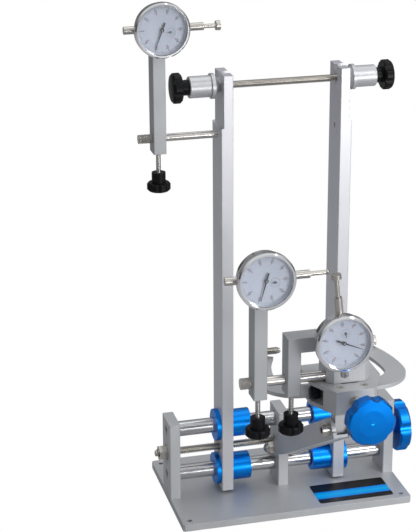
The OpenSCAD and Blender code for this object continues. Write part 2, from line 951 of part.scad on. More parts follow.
module dial_bezel()
    rotate_extrude()
        polygon([
            [case_r + pass, skirt_t], [dial_dia / 2 - 0.5, skirt_t],
            [dial_dia / 2, skirt_t + 0.5], [dial_dia / 2, dial_t - 1.5],
            [dial_dia / 2 - 1.5, dial_t], [case_r - 0.5, dial_t],
            [case_r - 0.5, glass_t + 1.2], [case_r, glass_t + 1.2], [case_r, glass_t],
            [case_r - 1, glass_t], [case_r - 1, scale_t + 0.8],
            [inner_dial_r + pass, scale_t + 0.8], [inner_dial_r + pass, scale_t],
            [case_r + pass, scale_t]
        ]);

module dial_glass()
    translate([0, 0, glass_t])
        cylinder(r = case_r, h = 1.2);

// A hand on an arbor of radius arbor_r: a thin pointer on a thicker hub
module pointer(hub_r, arbor_r, outline)
    difference() {
        union() {
            cylinder(r = hub_r, h = 0.9);
            linear_extrude(0.5)
                polygon(outline);
        }
        translate([0, 0, -cut])
            cylinder(r = arbor_r + run, h = 3);
    }

// Long hand on the middle arbor, pointing along +X before it is turned
module dial_hand(angle) {
    tip_x = inner_dial_r + 4;
    translate([0, 0, scale_t + 2.6])
        rotate([0, 0, angle])
            pointer(2, arbor_r, [[-8, -0.9], [-8, 0.9], [0, 0.7], [tip_x, 0.2], [tip_x, -0.2], [0, -0.7]]);
}

// Short hand of the turn counter
module dial_counter_hand(angle)
    translate([counter_r * cos(counter_turn), counter_r * sin(counter_turn), scale_t + 1.2])
        rotate([0, 0, angle])
            pointer(1.2, counter_arbor_r, [[-1.8, -0.4], [-1.8, 0.4], [3.6, 0.15], [3.6, -0.15]]);

// Plunger whose tip lies at reach from the middle of the dial; a disc or a ball ends it
module dial_plunger(reach, ball = false) {
    tip_l = ball ? 2.2 : 4.5;
    translate([0, 0, stem_t])
        rotate([0, 90, 0]) {
            translate([0, 0, -dial_dia / 2 + 4])
                cylinder(r = spindle_r, h = reach - tip_l + dial_dia / 2 - 4);
            if (ball)
                translate([0, 0, reach - 2.6])
                    sphere(r = 2.6);
            else
                translate([0, 0, reach - tip_l])
                    cylinder(r = 5, h = tip_l);
        }
}

module at_upper_dial()
    place_dial(upper_arm_x, upper_dial_y, upper_dial_z)
        children();

module at_side_dial()
    place_dial(side_arm_x, lower_dial_y, side_dial_z)
        children();

module at_radial_dial()
    place_dial(radial_dial_x, radial_dial_y, radial_dial_z, radial_turn)
        children();

module upper_dial_case() color(chrome) at_upper_dial() dial_case(dial_gap + 12);
module upper_dial_bezel() color(chrome) at_upper_dial() dial_bezel();
module upper_dial_glass() color([0.8, 0.9, 1, 0.3]) at_upper_dial() dial_glass();
module upper_dial_hand() color(black) at_upper_dial() dial_hand(upper_hand_angle);
module upper_dial_counter() color(black) at_upper_dial() dial_counter_hand(counter_angle);
module upper_dial_plunger() color(steel) at_upper_dial() dial_plunger(upper_reach);

module side_dial_case() color(chrome) at_side_dial() dial_case(dial_gap + 12);
module side_dial_bezel() color(chrome) at_side_dial() dial_bezel();
module side_dial_glass() color([0.8, 0.9, 1, 0.3]) at_side_dial() dial_glass();
module side_dial_hand() color(black) at_side_dial() dial_hand(side_hand_angle);
module side_dial_counter() color(black) at_side_dial() dial_counter_hand(counter_angle);
module side_dial_plunger() color(steel) at_side_dial() dial_plunger(side_reach, true);

module radial_dial_case()
    color(chrome)
        at_radial_dial()
            dial_case(dial_gap + 22, radial_lug_drop, radial_turn);
module radial_dial_bezel() color(chrome) at_radial_dial() dial_bezel();
module radial_dial_glass() color([0.8, 0.9, 1, 0.3]) at_radial_dial() dial_glass();
module radial_dial_hand() color(black) at_radial_dial() dial_hand(radial_hand_angle);
module radial_dial_counter() color(black) at_radial_dial() dial_counter_hand(counter_angle);
module radial_dial_plunger() color(steel) at_radial_dial() dial_plunger(radial_reach);

base_plate();
left_end_plate();
centre_plate();
right_end_plate();
guide_rods();
frame_screws();
lead_screw();
lead_knob();
lead_end_nut();
left_column();
right_column();
left_bushings();
right_bushings();
left_drive_nut();
right_drive_nut();
axle();
left_cone();
right_cone();
left_axle_knob();
right_axle_knob();
upper_rod();
upper_arm();
upper_clamp_knob();
lower_rod();
side_arm();
side_clamp_knob();
radial_arm();
radial_clamp_knob();
swing_arm();
arm_pivot_bolt();
tilt_screw();
top_plate();
tilt_bracket();
front_block();
carriage_screws();
head_block();
slide_nut();
claw_plate();
contact_screws();
lock_knob();
feed_screw();
feed_knob();
upper_dial_case();
upper_dial_bezel();
upper_dial_glass();
upper_dial_hand();
upper_dial_counter();
upper_dial_plunger();
side_dial_case();
side_dial_bezel();
side_dial_glass();
side_dial_hand();
side_dial_counter();
side_dial_plunger();
radial_dial_case();
radial_dial_bezel();
radial_dial_glass();
radial_dial_hand();
radial_dial_counter();
radial_dial_plunger();
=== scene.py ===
"""Looks of the wheel truing stand: finishes, threads, dial faces, light and camera."""

import json
import math

import bpy
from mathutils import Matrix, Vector


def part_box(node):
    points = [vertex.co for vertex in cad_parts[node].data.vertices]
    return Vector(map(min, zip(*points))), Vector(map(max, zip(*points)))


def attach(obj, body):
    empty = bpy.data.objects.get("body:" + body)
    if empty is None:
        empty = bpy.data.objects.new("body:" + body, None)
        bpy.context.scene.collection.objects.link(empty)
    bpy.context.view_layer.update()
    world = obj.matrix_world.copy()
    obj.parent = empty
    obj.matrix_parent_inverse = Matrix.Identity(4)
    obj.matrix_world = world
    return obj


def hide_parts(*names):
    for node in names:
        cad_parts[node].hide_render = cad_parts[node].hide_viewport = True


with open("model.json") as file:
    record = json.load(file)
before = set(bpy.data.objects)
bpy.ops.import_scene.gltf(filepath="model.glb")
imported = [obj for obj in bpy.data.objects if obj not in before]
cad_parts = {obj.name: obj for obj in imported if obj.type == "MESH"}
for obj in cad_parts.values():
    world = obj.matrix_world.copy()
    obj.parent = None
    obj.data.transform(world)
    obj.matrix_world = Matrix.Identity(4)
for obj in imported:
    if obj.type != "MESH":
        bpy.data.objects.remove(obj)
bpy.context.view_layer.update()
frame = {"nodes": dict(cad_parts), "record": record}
NODES = frame["nodes"]
MM = 0.001
TURN = 2 * math.pi

# Places repeated from the construction, in millimetres
AXLE_Z = 474.0
LEAD_Z = 58.0
BASE_TOP = 8.0
FEED_Z = 218.43
CARRIAGE_Y = -256.83
FRONT_T = 16.0
FEED_L = 94.0
CLAW_Y = -119.83
CONTACT_X = 36.0
CONTACT_Z = 220.48
HEAD_X = 64.3
LOWER_ROD = (-225.83, 236.28)
COUNTER_R = 9.3
COUNTER_TURN = math.radians(-17)
CASE_R = 28.6
FACE_MIDDLE_R = 15.05
FACE_RING_R = 24.9
FACE_RING_WIDTH = 9.8
FACE_T = 0.14
FACE_HEIGHT = 14.09
NUMBER_HEIGHT = 14.19
NUMBER_R = 19.4
NUMBER_SIZE = 3.7
RED_NUMBER_R = 17.0
RED_NUMBER_SIZE = 2.1
LABEL_PLACE = (70.5, -50.0)
LABEL_SIZE = (86.0, 42.0, 0.6)
BAND_Y = -54.2
BAND_HALF = 8.0
DIALS = {
    "upper": {"x": -134.8, "y": -12.0, "z": 542.0, "turn": 0.0, "body": "upper_arm"},
    "side": {"x": -89.5, "y": -237.83, "z": 351.28, "turn": 0.0, "body": "side_arm"},
    "radial": {"x": -15.0, "y": -247.83, "z": 284.28, "turn": math.radians(96), "body": "radial_arm"},
}


# Shader values

class Value:
    """A socket of a material's graph that takes Python's operators."""

    def __init__(self, graph, socket):
        self.graph = graph
        self.socket = socket

    def maths(self, operation, *others):
        inputs = dict(enumerate((self, *others)))
        return self.graph.node("ShaderNodeMath", {"operation": operation}, inputs)

    def __add__(self, other):
        return self.maths("ADD", other)

    __radd__ = __add__

    def __sub__(self, other):
        return self.maths("SUBTRACT", other)

    def __rsub__(self, other):
        return (self * -1.0) + other

    def __mul__(self, other):
        return self.maths("MULTIPLY", other)

    __rmul__ = __mul__

    def __truediv__(self, other):
        return self.maths("DIVIDE", other)

    def __abs__(self):
        return self.maths("ABSOLUTE")

    def __mod__(self, other):
        return self.maths("FLOORED_MODULO", other)

    def __gt__(self, other):
        return self.maths("GREATER_THAN", other)

    def __lt__(self, other):
        return self.maths("LESS_THAN", other)

    def sin(self):
        return self.maths("SINE")

    def root(self):
        return self.maths("SQRT")

    def angle(self, other):
        return self.maths("ARCTAN2", other)

    def at_least(self, other):
        return self.maths("MAXIMUM", other)

    def at_most(self, other):
        return self.maths("MINIMUM", other)

    def near(self, middle, half):
        """1 within half of middle, otherwise 0."""
        return abs(self - middle) < half


class Graph:
    """The node graph of one material."""

    def __init__(self, name):
        self.material = bpy.data.materials.new(name)
        self.material.use_nodes = True
        self.tree = self.material.node_tree
        self.tree.nodes.clear()
        self.object_point = self.node("ShaderNodeTexCoord", out="Object")

    def node(self, kind, settings=None, inputs=None, out=0):
        made = self.tree.nodes.new(kind)
        for key, value in (settings or {}).items():
            setattr(made, key, value)
        for key, value in (inputs or {}).items():
            self.plug(made.inputs[key], value)
        if not made.outputs:
            return None
        return Value(self, made.outputs[out])

    def plug(self, socket, value):
        if isinstance(value, Value):
            self.tree.links.new(value.socket, socket)
        else:
            socket.default_value = value

    def xyz(self):
        split = self.tree.nodes.new("ShaderNodeSeparateXYZ")
        self.plug(split.inputs[0], self.object_point)
        return [Value(self, output) for output in split.outputs]

    def noise(self, scale, detail=2.0, rough=0.5, stretch=(1, 1, 1)):
        point = self.node(
            "ShaderNodeVectorMath", {"operation": "MULTIPLY"}, {0: self.object_point, 1: stretch}
        )
        inputs = {"Vector": point, "Scale": scale, "Detail": detail, "Roughness": rough}
        return self.node("ShaderNodeTexNoise", None, inputs, 0)

    def mix(self, factor, first, second):
        settings = {"data_type": "RGBA"}
        inputs = {0: factor, 6: rgba(first), 7: rgba(second)}
        return self.node("ShaderNodeMix", settings, inputs, 2)

    def span(self, value, low, high):
        """value from 0 to 1 spread between low and high."""
        return value * (high - low) + low

    def bump(self, height, distance, strength=1.0, normal=None):
        inputs = {"Height": height, "Distance": distance, "Strength": strength}
        if normal is not None:
            inputs["Normal"] = normal
        return self.node("ShaderNodeBump", None, inputs, "Normal")

    def soft_edges(self, radius):
        return self.node("ShaderNodeBevel", {"samples": 6}, {"Radius": radius}, "Normal")

    def surface(self, **inputs):
        settings = {key.replace("_", " ").title(): value for key, value in inputs.items()}
        if "Ior" in settings:
            settings["IOR"] = settings.pop("Ior")
        color = settings.get("Base Color")
        if isinstance(color, tuple):
            settings["Base Color"] = rgba(color)
        shader = self.node("ShaderNodeBsdfPrincipled", None, settings)
        self.node("ShaderNodeOutputMaterial", None, {"Surface": shader})
        return self.material


def rgba(color):
    if isinstance(color, Value):
        return color
    return (*color[:3], 1.0)


# Finishes

def blasted_aluminium(name, dark, pale):
    g = Graph(name)
    grain = g.noise(1500, 3, 0.6)
    cloud = g.noise(22, 2)
    tone = grain * 0.35 + cloud * 0.65
    color = g.mix(tone, (dark, dark + 0.01, dark + 0.02), (pale, pale + 0.01, pale + 0.02))
    rough = g.span(grain, 0.40, 0.56)
    normal = g.bump(grain, 0.00005, 0.2, g.soft_edges(0.0005))
    return g.surface(base_color=color, metallic=0.45, roughness=rough, normal=normal)


def anodised_aluminium():
    g = Graph("anodised_aluminium")
    drawn = g.noise(900, 3, 0.6, (1, 1, 0.02))
    cloud = g.noise(9, 2)
    color = g.mix(cloud, (0.63, 0.63, 0.66), (0.72, 0.72, 0.75))
    rough = g.span(drawn, 0.30, 0.44)
    normal = g.bump(drawn, 0.00002, 0.15, g.soft_edges(0.0006))
    return g.surface(base_color=color, metallic=0.5, roughness=rough, normal=normal)


def turned_aluminium():
    g = Graph("turned_aluminium")
    x = g.xyz()[0]
    rings = (x * 9000).sin() * 0.5 + 0.5
    cloud = g.noise(60, 2)
    color = g.mix(cloud, (0.52, 0.52, 0.54), (0.64, 0.64, 0.66))
    rough = g.span(rings, 0.32, 0.46)
    normal = g.bump(rings, 0.00001, 0.4, g.soft_edges(0.0003))
    return g.surface(base_color=color, metallic=0.55, roughness=rough, normal=normal)


def blue_anodised():
    g = Graph("blue_anodised")
    fine = g.noise(700, 2)
    cloud = g.noise(35, 2)
    color = g.mix(cloud, (0.0, 0.18, 0.70), (0.0, 0.26, 0.86))
    rough = g.span(fine, 0.30, 0.40)
    normal = g.bump(fine, 0.00001, 0.1, g.soft_edges(0.0004))
    return g.surface(
        base_color=color, metallic=0.95, roughness=rough, coat_weight=0.12, coat_roughness=0.06, normal=normal
    )


def polished_rod():
    g = Graph("polished_rod")
    lines = g.noise(1400, 2, 0.5, (1, 0.06, 0.06))
    rough = g.span(lines, 0.16, 0.21)
    color = g.mix(lines, (0.50, 0.50, 0.51), (0.60, 0.60, 0.61))
    return g.surface(base_color=color, metallic=1.0, roughness=rough)


def bright_steel():
    g = Graph("bright_steel")
    fine = g.noise(1100, 3)
    cloud = g.noise(40, 2)
    color = g.mix(cloud, (0.46, 0.43, 0.39), (0.62, 0.60, 0.56))
    rough = g.span(fine, 0.20, 0.36)
    normal = g.bump(fine, 0.00001, 0.3, g.soft_edges(0.0002))
    return g.surface(base_color=color, metallic=1.0, roughness=rough, normal=normal)


def knurled_steel(name, x_from, x_to, y, z):
    """Steel whose last stretch along X is cut with a diamond knurl."""
    g = Graph(name)
    px, py, pz = g.xyz()
    around = (pz - z * MM).angle(py - y * MM)
    first = ((around * 22.0) + (px * 3200.0)).sin()
    second = ((around * 22.0) - (px * 3200.0)).sin()
    band = px.near((x_from + x_to) * 0.5 * MM, abs(x_to - x_from) * 0.5 * MM)
    diamond = abs(first * second)
    height = diamond * band
    # The knurl's grooves are painted darker in the colour below: painted shade in the recesses.
    groove_painted_shade = (1.0 - diamond) * band
    fine = g.noise(1100, 3)
    color = g.mix(groove_painted_shade, (0.68, 0.65, 0.62), (0.40, 0.38, 0.35))
    rough = g.span(fine, 0.18, 0.32)
    normal = g.bump(height, 0.0003, 0.9)
    return g.surface(base_color=color, metallic=1.0, roughness=rough, normal=normal)


def threaded_stud():
    """Steel stud along Z with a fine thread."""
    g = Graph("threaded_stud")
    pz = g.xyz()[2]
    groove_painted_shade = (pz * (TURN / (0.8 * MM))).sin() * 0.5 + 0.5
    fine = g.noise(1100, 3)
    # The thread's roots are painted darker and its crests lighter: painted shade and painted highlight along
    # the thread.
    color = g.mix(groove_painted_shade, (0.42, 0.41, 0.39), (0.74, 0.73, 0.71))
    normal = g.bump(groove_painted_shade, 0.0002, 0.7)
    return g.surface(base_color=color, metallic=1.0, roughness=g.span(fine, 0.16, 0.28), normal=normal)


def black_plastic():
    g = Graph("black_plastic")
    grain = g.noise(1300, 3, 0.6)
    wear = g.noise(90, 3)
    color = g.mix(wear, (0.003, 0.003, 0.004), (0.009, 0.009, 0.010))
    rough = g.span(grain, 0.26, 0.44)
    normal = g.bump(grain, 0.00005, 0.4, g.soft_edges(0.0005))
    return g.surface(base_color=color, roughness=rough, ior=1.24, normal=normal)


def bronze():
    g = Graph("bronze")
    fine = g.noise(800, 3)
    color = g.mix(fine, (0.42, 0.26, 0.10), (0.62, 0.42, 0.18))
    return g.surface(base_color=color, metallic=1.0, roughness=g.span(fine, 0.28, 0.42))


def plated_chrome():
    g = Graph("plated_chrome")
    smear = g.noise(70, 3)
    color = g.mix(smear, (0.60, 0.60, 0.61), (0.70, 0.70, 0.71))
    return g.surface(base_color=color, metallic=1.0, roughness=g.span(smear, 0.05, 0.11))


def knurled_chrome(name, dial):
    """Plated bezel with a straight knurl round its skirt."""
    g = Graph(name)
    px, py, pz = g.xyz()
    across = px - dial["x"] * MM
    upward = pz - dial["z"] * MM
    radius = (across * across + upward * upward).root()
    around = upward.angle(across)
    height_on_axis = dial["y"] * MM - py
    skirt = (radius > 0.0281) * height_on_axis.near(0.0148, 0.0021)
    knurl = ((around * 110.0).sin() * 0.5 + 0.5) * skirt
    smear = g.noise(70, 3)
    # Along the skirt the knurl's ridges are painted darker than the plain chrome: painted shade in stripes
    # round the bezel.
    color = g.mix(knurl, (0.90, 0.90, 0.91), (0.55, 0.55, 0.56))
    rough = g.span(smear, 0.05, 0.12)
    normal = g.bump(knurl, 0.00035, 0.9)
    return g.surface(base_color=color, metallic=1.0, roughness=rough, normal=normal)


def crystal():
    g = Graph("crystal")
    smear = g.noise(40, 3)
    rough = g.span(smear, 0.0, 0.03)
    clear = g.span(smear, 0.03, 0.06)
    return g.surface(base_color=(0.9, 0.95, 1.0), roughness=rough, alpha=clear)


def hand_black():
    g = Graph("hand_black")
    fine = g.noise(2500, 2)
    color = g.mix(fine, (0.004, 0.004, 0.005), (0.012, 0.012, 0.014))
    return g.surface(base_color=color, roughness=g.span(fine, 0.25, 0.4), metallic=0.2)


def dial_print(name, dial):
    """Pale face with a printed scale: a hundred graduations and the turn counter's ring."""
    g = Graph(name)
    px, py, pz = g.xyz()
    turn = dial["turn"]
    across = px - dial["x"] * MM
    upward = pz - dial["z"] * MM
    along = across * math.cos(turn) + upward * math.sin(turn)
    aside = upward * math.cos(turn) - across * math.sin(turn)
    radius = (along * along + aside * aside).root()
    around = aside.angle(along) / TURN + 1.0
    fine_step = abs((around * 100.0) % 1.0 - 0.5)
    five_step = abs((around * 20.0) % 1.0 - 0.5)
    ten_step = abs((around * 10.0) % 1.0 - 0.5)
    width = 0.00012
    arc = radius * TURN
    fine = (0.5 - fine_step) * arc / 100.0 < width
    five = (0.5 - five_step) * arc / 20.0 < width * 1.3
    ten = (0.5 - ten_step) * arc / 10.0 < width * 1.7
    marks = fine * radius.near(0.0232, 0.0009)
    marks = marks.at_least(five * radius.near(0.0228, 0.0013))
    marks = marks.at_least(ten * radius.near(0.0224, 0.0017))
    counter_x = COUNTER_R * MM * math.cos(COUNTER_TURN)
    counter_y = COUNTER_R * MM * math.sin(COUNTER_TURN)
    sub_along = along - counter_x
    sub_aside = aside - counter_y
    sub_radius = (sub_along * sub_along + sub_aside * sub_aside).root()
    sub_around = sub_aside.angle(sub_along) / TURN + 1.0
    sub_step = abs((sub_around * 10.0) % 1.0 - 0.5)
    sub_mark = ((0.5 - sub_step) * sub_radius * TURN / 10.0 < 0.00016) * sub_radius.near(0.0041, 0.0006)
    marks = marks.at_least(sub_mark).at_least(sub_radius.near(0.0049, 0.00006) * 0.6)
    paper = g.noise(240, 3)
    pale = g.mix(paper, (0.48, 0.52, 0.62), (0.53, 0.57, 0.67))
    color = g.mix(marks, pale, (0.03, 0.03, 0.04))
    return g.surface(base_color=color, roughness=g.span(paper, 0.38, 0.5))


def print_ink(name, shade):
    g = Graph(name)
    fine = g.noise(3000, 2)
    darker = tuple(part * 0.7 for part in shade)
    return g.surface(base_color=g.mix(fine, darker, shade), roughness=g.span(fine, 0.4, 0.55))


def label_face():
    """Black gloss plate with a soft blue band along its middle."""
    g = Graph("label_face")
    py = g.xyz()[1]
    offset = abs(py - BAND_Y * MM)
    band = offset < BAND_HALF * MM
    middle = (1.0 - offset / (BAND_HALF * MM)).at_least(0.0)
    fine = g.noise(500, 3)
    black = g.mix(fine, (0.004, 0.004, 0.005), (0.010, 0.010, 0.012))
    blue = g.mix(middle, (0.0, 0.24, 0.92), (0.0, 0.50, 1.0))
    color = g.mix(band, black, blue)
    return g.surface(base_color=color, roughness=g.span(fine, 0.38, 0.48), ior=1.3)


LOOKS = {
    "blasted": blasted_aluminium("blasted_plates", 0.46, 0.66),
    "blasted_arm": blasted_aluminium("blasted_arms", 0.36, 0.51),
    "anodised": anodised_aluminium(),
    "turned": turned_aluminium(),
    "blue": blue_anodised(),
    "rod": polished_rod(),
    "steel": bright_steel(),
    "plastic": black_plastic(),
    "stud": threaded_stud(),
    "bronze": bronze(),
    "chrome": plated_chrome(),
    "crystal": crystal(),
    "hand": hand_black(),
    "black_ink": print_ink("black_ink", (0.02, 0.02, 0.025)),
    "red_ink": print_ink("red_ink", (0.50, 0.03, 0.05)),
    "label": label_face(),
}

LOOK_OF_SLOT = {
    "sandblasted_aluminium": "blasted",
    "anodised_aluminium": "anodised",
    "blue_anodised": "blue",
    "polished_rod": "rod",
    "bright_steel": "steel",
    "black_plastic": "plastic",
    "bronze": "bronze",
    "dial_chrome": "chrome",
    "dial_glass": "crystal",
    "hand_black": "hand",
}


def dress(piece, material):
    piece.data.materials.clear()
    piece.data.materials.append(material)
    return piece


for part in frame["record"]["subparts"]:
    dress(NODES[part["node"]], LOOKS[LOOK_OF_SLOT[part["material_slot"]]])
for cone in ("left_cone", "right_cone"):
    dress(NODES[cone], LOOKS["turned"])
for arm in ("upper_arm", "side_arm", "radial_arm"):
    dress(NODES[arm], LOOKS["blasted_arm"])
for dial_name, dial in DIALS.items():
    bezel_look = knurled_chrome(dial_name + "_bezel_look", dial)
    dress(NODES[dial_name + "_dial_bezel"], bezel_look)
    dress(NODES[dial_name + "_dial_plunger"], LOOKS["steel"])
dress(NODES["upper_rod"], knurled_steel("upper_rod_look", -141.7, -156.0, 0.0, 422.0))
dress(NODES["lower_rod"], knurled_steel("lower_rod_look", -98.3, -107.2, *LOWER_ROD))


def dress_faces(node, material, test):
    """Gives the faces of a node that pass the test a second finish."""
    mesh = NODES[node].data
    mesh.materials.append(material)
    last = len(mesh.materials) - 1
    for face in mesh.polygons:
        if test(face.center / MM):
            face.material_index = last


STUDS = {
    "upper_clamp_knob": (-134.8, 0.0),
    "side_clamp_knob": (-89.5, LOWER_ROD[0]),
    "radial_clamp_knob": (-55.7, LOWER_ROD[0]),
}
for knob, (stud_x, stud_y) in STUDS.items():
    knob_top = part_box(knob)[1].z / MM
    dress_faces(
        knob, LOOKS["stud"],
        lambda c: math.hypot(c.x - stud_x, c.y - stud_y) < 2.7 and c.z > knob_top - 34,
    )
dress_faces("lock_knob", LOOKS["steel"], lambda c: c.x > -26.9)
for dial_name, dial in DIALS.items():
    dress_faces(
        dial_name + "_dial_case", LOOKS["steel"],
        lambda c: math.hypot(c.x - dial["x"], c.z - dial["z"]) > CASE_R,
    )


# Modelling helpers

def only(piece):
    bpy.ops.object.select_all(action="DESELECT")
    piece.select_set(True)
    bpy.context.view_layer.objects.active = piece


def start(kind, name, **settings):
    """A new primitive, alone in the selection."""
    bpy.ops.object.select_all(action="DESELECT")
    getattr(bpy.ops.mesh, "primitive_" + kind + "_add")(**settings)
    piece = bpy.context.object
    piece.name = name
    piece.data.name = name
    return piece


def apply_modifier(piece, kind, **settings):
    only(piece)
    modifier = piece.modifiers.new(kind.title(), kind)
    for key, value in settings.items():
        setattr(modifier, key, value)
    bpy.ops.object.modifier_apply(modifier=modifier.name)


def settle(piece, body, material, smooth=35):
    """Puts the place into the mesh and ties the piece to its body and look."""
    only(piece)
    bpy.ops.object.transform_apply(location=True, rotation=True, scale=True)
    bpy.ops.object.shade_smooth_by_angle(angle=math.radians(smooth))
    dress(piece, material)
    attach(piece, body)
    return piece


def select_faces(piece, test):
    """In edit mode, selects the faces whose middle and normal pass the test."""
    bpy.ops.mesh.select_mode(type="FACE")
    bpy.ops.mesh.select_all(action="DESELECT")
    bpy.ops.object.mode_set(mode="OBJECT")
    for face in piece.data.polygons:
        face.select = test(face.center, face.normal)
    bpy.ops.object.mode_set(mode="EDIT")


def join(pieces, name):
    bpy.ops.object.select_all(action="DESELECT")
    for piece in pieces:
        piece.select_set(True)
    bpy.context.view_layer.objects.active = pieces[0]
    bpy.ops.object.join()
    joined = bpy.context.object
    joined.name = name
    joined.data.name = name
    return joined


def every_other(middle, step):
    """True for every second face round the X axis, when each spans the angle step."""
    return int(math.atan2(middle.z, middle.y) / step + 99) % 2 == 0


def collar(name, x0, x1, radius, flutes=0):
    """A chamfered disc along X from x0 to x1; with flutes, its rim is knurled in straight grooves."""
    disc = start(
        "cylinder", name, vertices=flutes * 2 or 48, radius=radius * MM, depth=(x1 - x0) * MM,
        location=((x0 + x1) / 2 * MM, 0, 0), rotation=(0, math.pi / 2, 0),
    )
    bpy.ops.object.transform_apply(location=True, rotation=True, scale=True)
    if flutes:
        bpy.ops.object.mode_set(mode="EDIT")
        step = math.pi / flutes
        select_faces(disc, lambda middle, normal: abs(normal.x) < 0.5 and every_other(middle, step))
        bpy.ops.mesh.inset(thickness=0.05 * MM, use_individual=True)
        bpy.ops.transform.shrink_fatten(value=-0.25 * MM)
        bpy.ops.object.mode_set(mode="OBJECT")
    apply_modifier(disc, "BEVEL", width=0.0003, segments=2, limit_method="ANGLE", angle_limit=1.0)
    return disc


# Threads

def thread(name, radius, pitch, length, steps=20):
    """A threaded rod along X from the origin: a core and a sixty degree helical ridge."""
    side = pitch * MM
    corner = side / math.sqrt(3)
    crest = radius * MM
    turns = int(length / pitch) - 2
    ridge = start("circle", name + "_ridge", vertices=3, radius=corner)
    bpy.ops.object.mode_set(mode="EDIT")
    bpy.ops.mesh.select_all(action="SELECT")
    bpy.ops.transform.translate(value=(side, crest - corner, 0))
    bpy.ops.object.mode_set(mode="OBJECT")
    apply_modifier(
        ridge, "SCREW", axis="X", angle=TURN, screw_offset=side, iterations=turns,
        steps=steps, render_steps=steps,
    )
    bpy.ops.object.mode_set(mode="EDIT")
    bpy.ops.mesh.select_all(action="SELECT")
    bpy.ops.mesh.remove_doubles(threshold=1e-7)
    bpy.ops.mesh.select_mode(type="EDGE")
    bpy.ops.mesh.select_all(action="DESELECT")
    bpy.ops.mesh.select_non_manifold()
    bpy.ops.mesh.edge_face_add()
    bpy.ops.mesh.select_all(action="SELECT")
    bpy.ops.mesh.normals_make_consistent(inside=False)
    bpy.ops.object.mode_set(mode="OBJECT")
    core = start(
        "cylinder", name + "_core", vertices=48, radius=crest - side * 0.55, depth=length * MM,
        location=(length * MM / 2, 0, 0), rotation=(0, math.pi / 2, 0),
    )
    bpy.ops.object.transform_apply(location=True, rotation=True, scale=True)
    apply_modifier(core, "BEVEL", width=0.0006, segments=2, limit_method="ANGLE")
    return join([core, ridge], name)


def contact_screw(name):
    """Knurled thumb screw along X, its tip towards the rim."""
    shank = thread(name, 3.8, 1.25, HEAD_X + 1 - CONTACT_X - 1.5)
    shank.location = ((CONTACT_X + 1.5) * MM, 0, 0)
    bpy.ops.object.transform_apply(location=True, rotation=True, scale=True)
    tip = collar(name + "_tip", CONTACT_X, CONTACT_X + 2, 2.6)
    head = collar(name + "_head", HEAD_X, HEAD_X + 3.4, 5.4, 24)
    return join([shank, tip, head], name)


def copy_turned(piece, name, angle):
    """A copy with its own mesh, turned about the vertical axis."""
    only(piece)
    bpy.ops.object.duplicate()
    copied = bpy.context.object
    copied.name = name
    copied.data.name = name
    copied.rotation_euler = (0, 0, angle)
    bpy.ops.object.transform_apply(location=True, rotation=True, scale=True)
    return copied


def threaded_rod(name, body, nodes, x0, x1, y, z, radius, pitch):
    rod = thread(name, radius, pitch, x1 - x0)
    rod.location = (x0 * MM, y * MM, z * MM)
    settle(rod, body, LOOKS["steel"])
    if nodes:
        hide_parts(*nodes)
    return rod


threaded_rod("axle_thread", "axle", ["axle"], -107, 107, 0, AXLE_Z, 3.9, 1.25)
threaded_rod("lead_thread", "lead", ["lead_screw"], -144, 147, 0, LEAD_Z, 4.5, 2.0)

right_screw = contact_screw("contact_right")
left_screw = copy_turned(right_screw, "contact_left", math.pi)
contact_threads = join([right_screw, left_screw], "contact_threads")
contact_threads.location = (0, CLAW_Y * MM, CONTACT_Z * MM)
settle(contact_threads, "slider", LOOKS["steel"])
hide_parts("contact_screws")

feed_thread = thread("feed_thread", 3.6, 2.0, FEED_L)
feed_collars = [
    collar("feed_collar_front", 39.0, 44.85, 6.0),
    collar("feed_collar_back", 45.0 + FRONT_T + 0.15, 45.0 + FRONT_T + 1.5, 6.0),
]
feed_thread = join([feed_thread, *feed_collars], "feed_thread")
feed_thread.rotation_euler = (0, 0, math.pi / 2)
feed_thread.location = (0, (CARRIAGE_Y - 45) * MM, FEED_Z * MM)
settle(feed_thread, "feed", LOOKS["steel"])
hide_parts("feed_screw")


# Dial faces

def on_dial(dial, along, aside, height):
    """A point of a dial, from its own axes to the stand's."""
    cos = math.cos(dial["turn"])
    sin = math.sin(dial["turn"])
    x = dial["x"] + along * cos - aside * sin
    z = dial["z"] + along * sin + aside * cos
    return Vector((x * MM, (dial["y"] - height) * MM, z * MM))


def face_disc(name, dial, body, material):
    """Fixed middle of the face, with a fine raised rim."""
    disc = start(
        "cylinder", name, vertices=96, radius=FACE_MIDDLE_R * MM, depth=FACE_T * MM, end_fill_type="NGON",
        location=on_dial(dial, 0, 0, FACE_HEIGHT), rotation=(math.pi / 2, 0, 0),
    )
    bpy.ops.object.mode_set(mode="EDIT")
    select_faces(disc, lambda middle, normal: normal.z > 0.9)
    bpy.ops.mesh.inset(thickness=0.15 * MM)
    bpy.ops.transform.translate(value=(0, 0.03 * MM, 0))
    bpy.ops.object.mode_set(mode="OBJECT")
    return settle(disc, body, material)


def face_ring(name, dial, body, material):
    """Turning outer ring that carries the graduations."""
    ring = start(
        "cylinder", name, vertices=128, radius=FACE_RING_R * MM, depth=FACE_T * MM, end_fill_type="NGON",
        location=on_dial(dial, 0, 0, FACE_HEIGHT), rotation=(math.pi / 2, 0, 0),
    )
    bpy.ops.object.mode_set(mode="EDIT")
    select_faces(ring, lambda middle, normal: abs(normal.z) > 0.9)
    bpy.ops.mesh.inset(thickness=FACE_RING_WIDTH * MM)
    bpy.ops.mesh.bridge_edge_loops()
    bpy.ops.object.mode_set(mode="OBJECT")
    return settle(ring, body, material)


